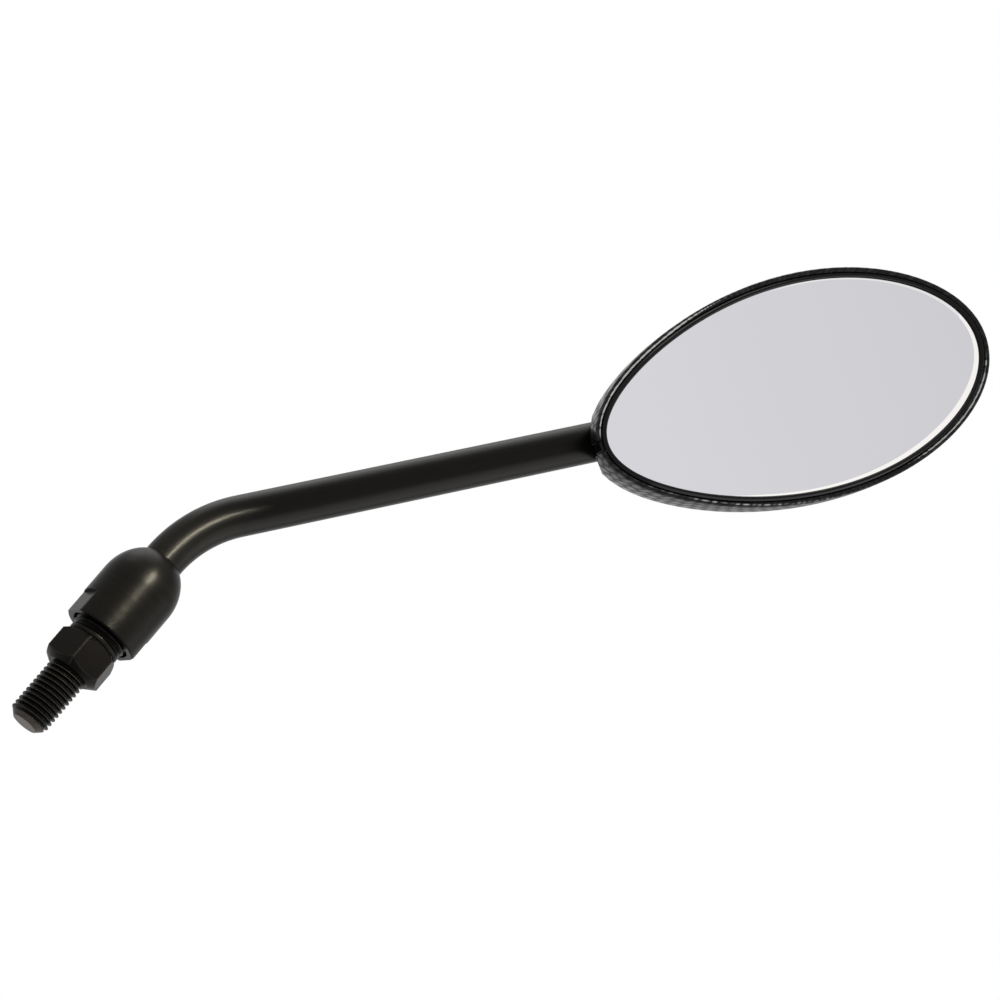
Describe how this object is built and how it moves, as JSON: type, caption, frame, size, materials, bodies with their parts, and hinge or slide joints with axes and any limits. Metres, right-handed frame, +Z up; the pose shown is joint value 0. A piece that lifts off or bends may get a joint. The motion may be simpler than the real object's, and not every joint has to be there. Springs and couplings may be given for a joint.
{
  "type": "motorcycle mirror",
  "caption": "Egg-shaped motorcycle mirror with a carbon shell and bevelled glass on a ball joint, a bent round stem in a swivelling clamp nut, and a hex adapter with an M10 stud.",
  "frame": {"origin": "on the stud axis, at the lower face of the hex, where the adapter seats on the handlebar clamp", "axes": "+Z up the stud axis into the clamp nut, the stem bends towards +X, and the glass faces -Y"},
  "size_m": [0.142, 0.0266, 0.2422],
  "materials": {
    "black_steel": "black-finished steel, oiled",
    "black_nut": "satin black over fine turning marks",
    "black_stem": "satin black powder coat",
    "carbon": "twill-woven carbon under clear coat",
    "rim_black": "gloss black",
    "mirror": "silvered glass with a ground bevel",
    "nylon": "natural nylon",
    "bright_steel": "zinc-plated",
    "brass": "turned",
    "pad": "closed-cell foam",
    "carrier": "moulded"
  },
  "bodies": {
    "base": {"adapter_stud": "black_steel", "bell_nut": "black_nut", "friction_washer": "nylon", "spring_washer": "bright_steel"},
    "stem": {"stem": "black_stem", "stem_foot": "bright_steel", "pivot_ball": "bright_steel"},
    "tilt_link": {"rear_seat": "nylon"},
    "pan_link": {"front_seat": "nylon"},
    "head": {"housing": "carbon", "rim": "rim_black", "mirror_glass": "mirror", "glass_pad": "pad", "carrier_plate": "carrier", "clamp_plate": "bright_steel", "clamp_screw_1": "bright_steel", "clamp_screw_2": "bright_steel", "clamp_screw_3": "bright_steel", "screw_insert_1": "brass", "screw_insert_2": "brass", "screw_insert_3": "brass"}
  },
  "joints": [
    {"name": "stem_swivel", "type": "hinge", "parent": "base", "child": "stem", "pos_m": [0, 0, 0], "axis": [0, 0, 1], "continuous": true},
    {"name": "head_tilt", "type": "hinge", "parent": "stem", "child": "tilt_link", "pos_m": [0.06958, 0, 0.14234], "axis": [0.5878, 0, 0.809], "continuous": true},
    {"name": "head_pan", "type": "hinge", "parent": "tilt_link", "child": "pan_link", "pos_m": [0.06958, 0, 0.14234], "axis": [-0.848, 0, 0.5299], "range_deg": [-8, 8]},
    {"name": "head_turn", "type": "hinge", "parent": "pan_link", "child": "head", "pos_m": [0.06958, 0, 0.14234], "axis": [0, 1, 0], "range_deg": [-4, 12]}
  ]
}
